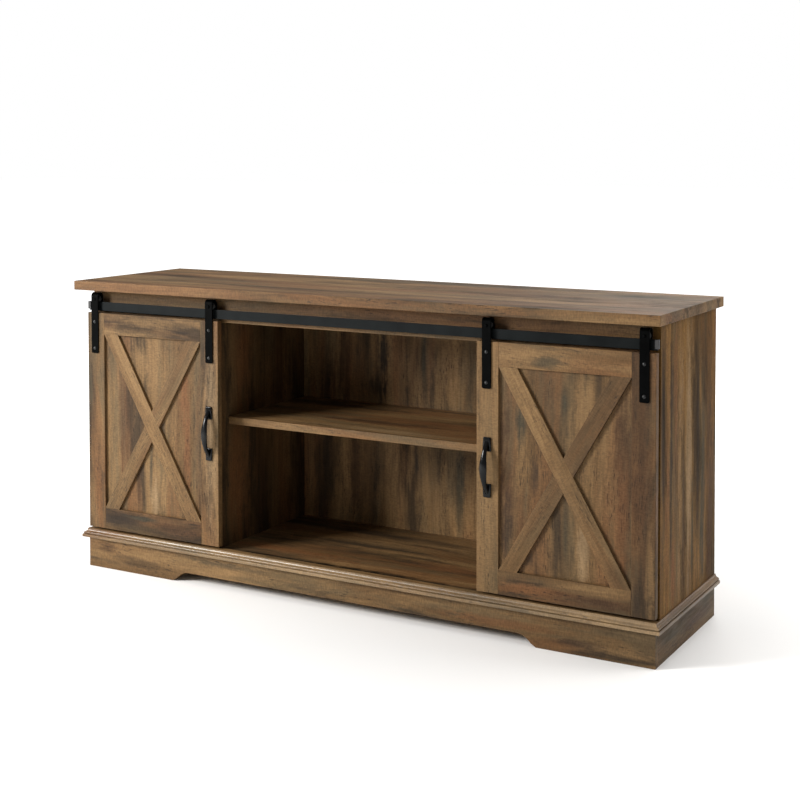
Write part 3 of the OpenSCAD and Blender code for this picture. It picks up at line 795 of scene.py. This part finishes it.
@dataclass
class Carcass:
    """The panels, shelves and fascia of the cabinet."""

    boards: list[Board] = field(default_factory=lambda: [
        Board("top_panel", Grain.LEVEL, (0.7, 0.3, 0.1), 1.0, stains_and_shade=(
            StainAndShade.level(0.34, -0.112, 0.40, 0.012, UMBER, 0.75),
            StainAndShade.level(0.07, 0.150, 0.45, 0.030, SLATE, 0.60),
            StainAndShade.level(0.59, 0.095, 0.14, 0.040, SLATE, 0.65),
            StainAndShade.level(0.36, -0.035, 0.30, 0.018, TAN, 0.60),
            StainAndShade.level(-0.30, -0.160, 0.35, 0.014, TAN, 0.50),
        )),
        Board("left_side_panel", Grain.UPRIGHT, (2.2, 0.6, 1.4)),
        Board("right_side_panel", Grain.UPRIGHT, (5.2, 4.6, 0.9), 1.0, stains_and_shade=(
            StainAndShade.side(-0.132, 0.46, 0.014, 0.30, CHAR, 0.70),
            StainAndShade.side(-0.108, 0.30, 0.012, 0.30, RUST, 0.75),
            StainAndShade.side(-0.085, 0.40, 0.010, 0.30, CHAR, 0.80),
            StainAndShade.side(-0.060, 0.52, 0.010, 0.20, RUST, 0.60),
            StainAndShade.side(-0.071, 0.15, 0.018, 0.08, RUST, 0.80),
            StainAndShade.side(-0.030, 0.38, 0.020, 0.34, TAN, 0.85),
            StainAndShade.side(-0.010, 0.30, 0.007, 0.16, CHAR, 0.60),
            StainAndShade.side(0.022, 0.40, 0.022, 0.34, STRAW, 0.70),
            StainAndShade.side(0.048, 0.22, 0.008, 0.14, SLATE, 0.80),
            StainAndShade.side(0.082, 0.45, 0.012, 0.34, CHAR, 0.75),
            StainAndShade.side(0.108, 0.24, 0.022, 0.30, SLATE, 0.85),
            StainAndShade.side(0.165, 0.26, 0.022, 0.34, UMBER, 0.80),
        ), changes=WARM),
        Board("left_partition", Grain.UPRIGHT, (8.8, 2.6, 3.4), 0.76, stains_and_shade=(
            StainAndShade.side(-0.082, 0.22, 0.040, 0.16, RUST, 0.80),
            StainAndShade.side(-0.072, 0.53, 0.030, 0.12, RUST, 0.75),
            StainAndShade.side(0.016, 0.25, 0.026, 0.20, UMBER, 0.70),
            StainAndShade.side(0.090, 0.50, 0.040, 0.14, UMBER, 0.70),
        )),
        Board("right_partition", Grain.UPRIGHT, (1.9, 7.1, 5.4)),
        Board("bottom_panel", Grain.LEVEL, (3.7, 9.3, 6.1), 1.08, stains_and_shade=(
            # Painted shade: a near-black strip along the bay floor's front edge stands in for the shadowed
            # gap and guide channel behind the moulding lip.
            StainAndShade.level(0.0, -0.147, 0.9, 0.012, SHADOW, 1.0),
            StainAndShade.level(-0.15, -0.095, 0.22, 0.030, RUST, 0.80),
            StainAndShade.level(0.21, -0.040, 0.12, 0.030, RUST, 0.80),
            StainAndShade.level(0.11, -0.002, 0.10, 0.012, CHAR, 0.60),
            StainAndShade.level(-0.05, 0.055, 0.16, 0.022, TAN, 0.60),
            StainAndShade.level(0.13, 0.098, 0.10, 0.016, TAN, 0.50),
            StainAndShade.level(-0.12, 0.125, 0.24, 0.022, CHAR, 0.65),
        )),
        Board("back_panel", Grain.UPRIGHT, (4.1, 5.5, 2.8), 1.22, stains_and_shade=(
            StainAndShade.front(0.004, 0.51, 0.012, 0.11, SLATE, 0.90),
            StainAndShade.front(-0.111, 0.51, 0.014, 0.12, CHAR, 0.90),
            StainAndShade.front(-0.125, 0.43, 0.030, 0.022, CHAR, 0.65),
            StainAndShade.front(0.045, 0.44, 0.018, 0.12, TAN, 0.70),
            StainAndShade.front(-0.055, 0.45, 0.018, 0.12, TAN, 0.50),
            StainAndShade.front(-0.220, 0.48, 0.026, 0.16, UMBER, 0.70),
            StainAndShade.front(-0.275, 0.34, 0.020, 0.26, CHAR, 0.75),
            StainAndShade.front(-0.085, 0.22, 0.020, 0.13, TAN, 0.75),
            StainAndShade.front(-0.015, 0.25, 0.010, 0.06, CHAR, 0.85),
            StainAndShade.front(-0.189, 0.23, 0.024, 0.13, UMBER, 0.65),
            StainAndShade.front(0.100, 0.20, 0.014, 0.13, SLATE, 0.90),
            StainAndShade.front(0.047, 0.15, 0.018, 0.09, TAN, 0.75),
            StainAndShade.front(-0.320, 0.22, 0.014, 0.14, TAN, 0.45),
        )),
        Board("front_fascia", Grain.LEVEL, (6.3, 1.3, 8.1), 0.95),
        Board("centre_shelf", Grain.LEVEL, (9.9, 4.4, 2.1), 1.12, stains_and_shade=(
            StainAndShade.level(-0.04, -0.016, 0.20, 0.020, UMBER, 0.80),
            StainAndShade.level(0.06, -0.092, 0.22, 0.016, STRAW, 0.65),
            StainAndShade.level(-0.20, 0.131, 0.20, 0.030, CHAR, 0.70),
            StainAndShade.level(0.16, 0.030, 0.12, 0.020, RUST, 0.70),
            StainAndShade.level(-0.03, 0.070, 0.14, 0.014, TAN, 0.60),
        )),
        Board("left_shelf", Grain.LEVEL, (2.9, 6.4, 7.1)),
        Board("right_shelf", Grain.LEVEL, (7.9, 8.4, 9.1)),
    ])

    def dress(self, nodes: dict[str, bpy.types.Object]) -> None:
        """Dresses each panel, and the pins and dowels.

        Args:
            nodes: The CAD nodes by name.
        """
        for board in self.boards:
            board.dress(nodes)
        dress(nodes["shelf_pins"], BARE_STEEL.build())
        dress(nodes["panel_dowels"], PINE.build())


@dataclass
class Plinth:
    """The skirts, mouldings and feet."""

    boards: list[Board] = field(default_factory=lambda: [
        Board("front_skirt", Grain.LEVEL, (1.1, 3.3, 4.9), 0.98, stains_and_shade=(
            StainAndShade.front(-0.662, 0.052, 0.030, 0.014, UMBER, 0.60),
            StainAndShade.front(-0.33, 0.056, 0.16, 0.010, SLATE, 0.60),
            StainAndShade.front(-0.28, 0.040, 0.20, 0.012, TAN, 0.50),
            StainAndShade.front(-0.107, 0.035, 0.050, 0.005, CHAR, 0.60),
            StainAndShade.front(0.569, 0.023, 0.060, 0.008, CHAR, 0.65),
            StainAndShade.front(0.37, 0.040, 0.12, 0.012, RUST, 0.60),
            StainAndShade.front(0.66, 0.018, 0.08, 0.012, TAN, 0.60),
        )),
        Board("rear_skirt", Grain.LEVEL, (5.1, 2.3, 1.9)),
        Board("left_skirt", Grain.DEPTH, (4.6, 7.3, 2.9)),
        Board("right_skirt", Grain.DEPTH, (8.1, 1.3, 6.9), 0.78, stains_and_shade=(
            StainAndShade.side(-0.055, 0.036, 0.090, 0.016, SLATE, 0.75),
            StainAndShade.side(0.142, 0.054, 0.050, 0.016, SLATE, 0.75),
            StainAndShade.side(0.064, 0.030, 0.090, 0.014, UMBER, 0.70),
        )),
        Board("front_moulding", Grain.LEVEL, (3.9, 5.3, 0.9), 1.12, changes=POLISHED),
        Board("left_moulding", Grain.DEPTH, (6.7, 0.3, 8.9), 1.05, changes=POLISHED),
        Board("right_moulding", Grain.DEPTH, (2.7, 8.8, 4.2), 0.95, changes=POLISHED),
    ])

    def dress(self, nodes: dict[str, bpy.types.Object]) -> None:
        """Dresses the skirts, mouldings, blocks and glides.

        Args:
            nodes: The CAD nodes by name.
        """
        for board in self.boards:
            board.dress(nodes)
        for name in ("front_cleat", "base_blocks"):
            dress(nodes[name], PINE.build())
        dress(nodes["floor_glides"], GLIDE_PAD.build())
        dress(nodes["guide_channel"], BLACK_STEEL.build())


@dataclass
class Track:
    """The flat rail that carries the doors."""

    steel: tuple[str, ...] = ("track_rail", "rail_standoffs")
    plastic: tuple[str, ...] = ("rail_end_caps",)
    screws: tuple[str, ...] = ("rail_screws",)

    def dress(self, nodes: dict[str, bpy.types.Object]) -> None:
        """Dresses the rail and what fixes it.

        Args:
            nodes: The CAD nodes by name.
        """
        for names, finish in (
            (self.steel, BLACK_STEEL), (self.plastic, BLACK_NYLON), (self.screws, BARE_STEEL),
        ):
            for name in names:
                dress(nodes[name], finish.build())


@dataclass(frozen=True)
class Section:
    """One cross-section of a bar that runs upwards: where it is and how big."""

    height: float
    out: float
    width: float
    depth: float


@dataclass(frozen=True)
class Handle:
    """A cast pull: two tapered feet, and an oval bow that narrows to a neck at each foot."""

    side: str
    foot_len: float = 0.029
    foot_end_w: float = 0.0165
    foot_w: float = 0.0200
    foot_depth: float = 0.0040
    edge: float = 0.0018
    edge_steps: int = 4
    bow_smoothing: int = 3
    bow: tuple[Section, ...] = (
        Section(0.0570, 0.0018, 0.0060, 0.0036),
        Section(0.0520, 0.0036, 0.0100, 0.0062),
        Section(0.0440, 0.0080, 0.0112, 0.0100),
        Section(0.0360, 0.0126, 0.0104, 0.0104),
        Section(0.0270, 0.0164, 0.0122, 0.0086),
        Section(0.0150, 0.0196, 0.0166, 0.0074),
        Section(0.0000, 0.0208, 0.0190, 0.0070),
    )

    def bar(self, name: str, seat: Vector, sections: list[Section]) -> bpy.types.Object:
        """Models a closed bar by extruding one flat section upwards through the others.

        Args:
            name: The object's name.
            seat: The handle's middle on the door's face.
            sections: The cross-sections, from the lowest to the highest.

        Returns:
            The bar's object, at the origin.
        """
        bpy.ops.object.select_all(action="DESELECT")
        bpy.ops.mesh.primitive_plane_add(size=1.0, location=(0.0, 0.0, 0.0))
        bar = bpy.context.active_object
        bar.name = name
        bpy.ops.object.mode_set(mode="EDIT")
        bpy.ops.mesh.select_all(action="SELECT")
        first = sections[0]
        place = seat + Vector((0.0, -first.out, first.height))
        bpy.ops.transform.resize(value=(first.width, first.depth, 1.0))
        bpy.ops.transform.translate(value=place)
        for low, high in zip(sections, sections[1:]):
            step = Vector((0.0, low.out - high.out, high.height - low.height))
            bpy.ops.mesh.extrude_region_move(TRANSFORM_OT_translate={"value": step})
            place += step
            bpy.ops.transform.resize(
                value=(high.width / low.width, high.depth / low.depth, 1.0), center_override=place)
        bpy.ops.mesh.select_all(action="SELECT")
        bpy.ops.mesh.normals_make_consistent(inside=False)
        bpy.ops.object.mode_set(mode="OBJECT")
        return bar

    def finish(self, bar: bpy.types.Object, kind: str, **values: object) -> None:
        """Rounds a bar with one modifier, applies it and smooths the shading.

        Args:
            bar: The bar.
            kind: The modifier's type.
            values: The modifier's settings.
        """
        bpy.ops.object.modifier_add(type=kind)
        modifier = bar.modifiers[-1]
        for name, value in values.items():
            setattr(modifier, name, value)
        bpy.ops.object.modifier_apply(modifier=modifier.name)
        bpy.ops.object.shade_smooth()

    def build(self) -> None:
        """Models the whole handle, which rides with its door and stands for the CAD handle.

        The CAD handle gives the place and the height.
        """
        low, high = (Vector(corner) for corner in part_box(f"{self.side}_door_handle"))
        seat = (low + high) / 2
        seat.y = high.y
        half_height = (high.z - low.z) / 2
        lower = [replace(part, height=-part.height) for part in self.bow[:-1]]
        bow = self.bar(f"{self.side}_handle_form", seat, lower + list(self.bow[::-1]))
        self.finish(bow, "SUBSURF", levels=self.bow_smoothing, render_levels=self.bow_smoothing)
        out = self.foot_depth / 2
        inner = Section(half_height - self.foot_len, out, self.foot_w, self.foot_depth)
        outer = Section(half_height, out, self.foot_end_w, self.foot_depth)
        feet = []
        for ends in (
            [inner, outer],
            [replace(outer, height=-outer.height), replace(inner, height=-inner.height)],
        ):
            foot = self.bar(f"{self.side}_handle_foot", seat, ends)
            self.finish(foot, "BEVEL", width=self.edge, segments=self.edge_steps)
            feet.append(foot)
        bpy.ops.object.select_all(action="DESELECT")
        for part in (*feet, bow):
            part.select_set(True)
        bpy.context.view_layer.objects.active = bow
        bpy.ops.object.join()
        bow.data.materials.clear()
        bow.data.materials.append(BLACK_HANDLE.build())
        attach(bow, f"{self.side}_door")
        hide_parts(f"{self.side}_door_handle")
        LOG.info("modelled the %s handle", self.side)


LEFT_STAINS: dict[str, tuple[StainAndShade, ...]] = {
    "outer_stile": (
        StainAndShade.front(-0.712, 0.45, 0.012, 0.09, SLATE, 0.70),
        StainAndShade.front(-0.69, 0.17, 0.016, 0.08, RUST, 0.45),
    ),
    "inner_stile": (StainAndShade.front(-0.352, 0.36, 0.016, 0.26, STRAW, 0.55),),
    "top_rail": (
        StainAndShade.front(-0.52, 0.60, 0.16, 0.012, TAN, 0.60),
        StainAndShade.front(-0.435, 0.584, 0.026, 0.004, CHAR, 0.70),
    ),
    "bottom_rail": (
        StainAndShade.front(-0.62, 0.125, 0.090, 0.020, CHAR, 0.80),
        StainAndShade.front(-0.55, 0.134, 0.050, 0.008, SLATE, 0.80),
        StainAndShade.front(-0.46, 0.118, 0.060, 0.016, UMBER, 0.75),
        StainAndShade.front(-0.404, 0.139, 0.022, 0.003, CHAR, 0.80),
    ),
    "panel": (
        StainAndShade.front(-0.555, 0.50, 0.040, 0.08, TAN, 0.75),
        StainAndShade.front(-0.611, 0.36, 0.022, 0.13, UMBER, 0.45),
        StainAndShade.front(-0.438, 0.45, 0.014, 0.09, RUST, 0.80),
        StainAndShade.front(-0.424, 0.31, 0.012, 0.12, RUST, 0.85),
        StainAndShade.front(-0.497, 0.34, 0.008, 0.06, CHAR, 0.60),
        StainAndShade.front(-0.533, 0.25, 0.006, 0.07, SLATE, 0.75),
        StainAndShade.front(-0.520, 0.18, 0.014, 0.06, STRAW, 0.75),
        StainAndShade.front(-0.440, 0.22, 0.012, 0.06, UMBER, 0.65),
        StainAndShade.front(-0.572, 0.21, 0.006, 0.05, UMBER, 0.65),
    ),
}

LEFT_GAINS = {"bottom_rail": 0.72}

RIGHT_STAINS: dict[str, tuple[StainAndShade, ...]] = {
    "outer_stile": (
        StainAndShade.front(0.690, 0.40, 0.024, 0.26, UMBER, 0.60),
        StainAndShade.front(0.709, 0.18, 0.010, 0.10, TAN, 0.60),
        StainAndShade.front(0.678, 0.13, 0.012, 0.05, CHAR, 0.55),
    ),
    "inner_stile": (StainAndShade.front(0.352, 0.28, 0.030, 0.30, TAN, 0.60),),
    "top_rail": (
        StainAndShade.front(0.44, 0.596, 0.12, 0.014, TAN, 0.55),
        StainAndShade.front(0.491, 0.583, 0.036, 0.012, SLATE, 0.75),
    ),
    "bottom_rail": (
        StainAndShade.front(0.45, 0.120, 0.080, 0.016, RUST, 0.70),
        StainAndShade.front(0.60, 0.112, 0.090, 0.012, UMBER, 0.85),
        StainAndShade.front(0.60, 0.138, 0.090, 0.008, TAN, 0.55),
    ),
    "panel": (
        StainAndShade.front(0.403, 0.27, 0.030, 0.12, UMBER, 0.60),
        StainAndShade.front(0.429, 0.455, 0.013, 0.055, SLATE, 0.90),
        StainAndShade.front(0.461, 0.345, 0.009, 0.040, CHAR, 0.65),
        StainAndShade.front(0.527, 0.500, 0.010, 0.050, SLATE, 0.90),
        StainAndShade.front(0.568, 0.480, 0.022, 0.080, TAN, 0.65),
        StainAndShade.front(0.655, 0.36, 0.034, 0.24, UMBER, 0.80),
        StainAndShade.front(0.385, 0.44, 0.020, 0.10, UMBER, 0.75),
        StainAndShade.front(0.400, 0.22, 0.012, 0.09, CHAR, 0.65),
        StainAndShade.front(0.640, 0.26, 0.024, 0.13, RUST, 0.60),
        StainAndShade.front(0.564, 0.20, 0.012, 0.08, STRAW, 0.70),
        StainAndShade.front(0.528, 0.24, 0.008, 0.09, SLATE, 0.55),
        StainAndShade.front(0.445, 0.177, 0.016, 0.022, CHAR, 0.60),
    ),
}


RIGHT_GAINS = {"outer_stile": 0.80, "bottom_rail": 0.85, "panel": 0.95}


@dataclass
class Door:
    """One sliding door with its braces, hangers, rollers and handle."""

    side: str
    seed: float
    stains_and_shade: dict[str, tuple[StainAndShade, ...]]
    gains: dict[str, float]
    brace_lean: float = 30.25

    def boards(self) -> list[Board]:
        """The door's oak boards.

        Returns:
            The boards with their grain and place in the figure.
        """
        seed = self.seed
        layout = {
            "outer_stile": (Grain.UPRIGHT, (seed, 1.7 * seed, 0.6 * seed), 0.0),
            "inner_stile": (Grain.UPRIGHT, (2.3 * seed, 0.8 * seed, 1.9 * seed), 0.0),
            "top_rail": (Grain.LEVEL, (1.4 * seed, 2.6 * seed, 0.3 * seed), 0.0),
            "bottom_rail": (Grain.LEVEL, (0.7 * seed, 3.1 * seed, 2.2 * seed), 0.0),
            "panel": (Grain.UPRIGHT, (3.3 * seed, 0.4 * seed, 1.1 * seed), 0.0),
            "long_brace": (Grain.UPRIGHT, (0.9 * seed, 2.2 * seed, 2.9 * seed), self.brace_lean),
            "short_braces": (Grain.UPRIGHT, (2.8 * seed, 1.2 * seed, 0.9 * seed), -self.brace_lean),
        }
        return [
            Board(f"{self.side}_door_{part}", grain, shift, self.gains.get(part, 1.0), lean,
                  self.stains_and_shade.get(part, ()), CLEAR if lean else {})
            for part, (grain, shift, lean) in layout.items()
        ]

    def dress(self, nodes: dict[str, bpy.types.Object]) -> None:
        """Dresses the door's boards and hardware, and models its handle.

        Args:
            nodes: The CAD nodes by name.
        """
        for board in self.boards():
            board.dress(nodes)
        name = f"{self.side}_door_"
        for finish, parts in (
            (BLACK_STRAP, ("hangers", "axle_pins")),
            (BLACK_BOLT, ("strap_bolts",)),
            (BLACK_HANDLE, ("handle",)),
            (BARE_STEEL, ("axle_nuts", "handle_screws")),
            (BLACK_NYLON, ("outer_roller", "inner_roller", "floor_guides")),
        ):
            for part in parts:
                dress(nodes[name + part], finish.build())
        Handle(self.side).build()


# ---------------------------------------------------------------- studio


@dataclass(frozen=True)
class Softbox:
    """A large soft light that faces the cabinet."""

    name: str
    azimuth: float
    elevation: float
    distance: float
    width: float
    height: float
    power: float
    colour: Colour = (1.0, 0.985, 0.96)

    def build(self, aim: Vector) -> bpy.types.Object:
        """Adds the light.

        Args:
            aim: The point it faces.

        Returns:
            The light's object.
        """
        data = bpy.data.lights.new(self.name, "AREA")
        data.shape = "RECTANGLE"
        data.size = self.width
        data.size_y = self.height
        data.energy = self.power
        data.color = self.colour
        light = bpy.data.objects.new(self.name, data)
        bpy.context.scene.collection.objects.link(light)
        a, e = math.radians(self.azimuth), math.radians(self.elevation)
        away = Vector((math.sin(a) * math.cos(e), -math.cos(a) * math.cos(e), math.sin(e)))
        light.location = aim + away * self.distance
        light.rotation_euler = (-away).to_track_quat("-Z", "Y").to_euler()
        return light


@dataclass
class Studio:
    """The floor, the lights, the surround and the camera."""

    camera_place: Triple = (1.65852, -2.79120, 1.01617)
    camera_yaw: float = 29.0804
    camera_pitch: float = 2.0831
    camera_roll: float = -0.0317
    lens: float = 64.494
    shift: tuple[float, float] = (-0.02685, -0.25222)
    lights: tuple[Softbox, ...] = (
        Softbox("key_softbox", -44.0, 21.5, 3.6, 1.1, 1.1, 176.0),
        Softbox("top_softbox", 10.0, 78.0, 3.0, 2.4, 1.6, 24.0),
        Softbox("fill_softbox", 116.0, 25.0, 4.0, 2.2, 1.8, 66.0),
        Softbox("back_softbox", 170.0, 42.0, 4.0, 2.8, 1.8, 90.0),
    )
    surround: float = 0.30
    white_from: float = 0.6
    white_by: float = 2.6
    floor_size: float = 60.0
    floor_tone: float = 0.94
    sensor: float = 36.0

    def floor(self) -> None:
        """Adds the pale floor."""
        bpy.ops.object.select_all(action="DESELECT")
        bpy.ops.mesh.primitive_plane_add(size=self.floor_size)
        plane = bpy.context.active_object
        plane.name = "studio_floor"
        material = bpy.data.materials.new("pale_floor")
        material.use_nodes = True
        nodes = NodeTree(material.node_tree)
        shader = material.node_tree.nodes["Principled BSDF"]
        shader.inputs["Base Color"].default_value = (*(self.floor_tone,) * 3, 1.0)
        shader.inputs["Roughness"].default_value = 0.9
        far = nodes.add("ShaderNodeVectorMath", operation="LENGTH")
        nodes.join(nodes.add("ShaderNodeTexCoord").outputs["Object"], far.inputs[0])
        fade = nodes.ramp(far.outputs["Value"], self.white_from, self.white_by)
        seen = nodes.add("ShaderNodeLightPath").outputs["Is Camera Ray"]
        nodes.join(nodes.math("MULTIPLY", fade, seen), shader.inputs["Emission Strength"])
        shader.inputs["Emission Color"].default_value = WHITE
        plane.data.materials.append(material)
        plane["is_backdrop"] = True

    def surroundings(self) -> None:
        """Sets a plain white world."""
        world = bpy.data.worlds.new("studio_world")
        world.use_nodes = True
        nodes = NodeTree(world.node_tree)
        back = world.node_tree.nodes["Background"]
        back.inputs[0].default_value = WHITE
        seen = nodes.add("ShaderNodeLightPath").outputs["Is Camera Ray"]
        nodes.join(nodes.math("MAXIMUM", seen, self.surround), back.inputs[1])
        bpy.context.scene.world = world
        bpy.context.scene.view_settings.view_transform = "Standard"
        bpy.context.scene.view_settings.look = "None"

    def camera(self) -> None:
        """Adds the camera."""
        data = bpy.data.cameras.new("studio_camera")
        data.lens = self.lens
        data.sensor_width = self.sensor
        data.shift_x, data.shift_y = self.shift
        camera = bpy.data.objects.new("studio_camera", data)
        bpy.context.scene.collection.objects.link(camera)
        yaw, pitch, roll = (
            math.radians(angle) for angle in (self.camera_yaw, self.camera_pitch, self.camera_roll))
        forward = Vector(
            (-math.sin(yaw) * math.cos(pitch), math.cos(yaw) * math.cos(pitch), -math.sin(pitch)))
        right = Vector((math.cos(yaw), math.sin(yaw), 0.0))
        up = right.cross(forward)
        tilted_right = right * math.cos(roll) + up * math.sin(roll)
        tilted_up = -right * math.sin(roll) + up * math.cos(roll)
        turn = Matrix((tilted_right, tilted_up, -forward)).transposed()
        camera.matrix_world = Matrix.Translation(self.camera_place) @ turn.to_4x4()
        bpy.context.scene.camera = camera

    def build(self, aim: Vector) -> None:
        """Builds the whole studio.

        Args:
            aim: The middle of the cabinet.
        """
        self.floor()
        self.surroundings()
        self.camera()
        for softbox in self.lights:
            softbox.build(aim)


def main() -> None:
    """Loads the frame, dresses the cabinet and builds the studio."""
    logging.basicConfig(level=logging.INFO, format="%(name)s: %(message)s")
    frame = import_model()
    cad_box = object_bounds()
    nodes = frame["nodes"]
    bpy.ops.object.select_all(action="DESELECT")
    for name, part in (
        ("carcass", Carcass()),
        ("plinth", Plinth()),
        ("track", Track()),
        ("left door", Door("left", 3.7, LEFT_STAINS, LEFT_GAINS)),
        ("right door", Door("right", 5.3, RIGHT_STAINS, RIGHT_GAINS)),
    ):
        part.dress(nodes)
        LOG.info("finished the %s", name)
    Studio().build((cad_box[0] + cad_box[1]) / 2)


if __name__ == "__main__":
    main()
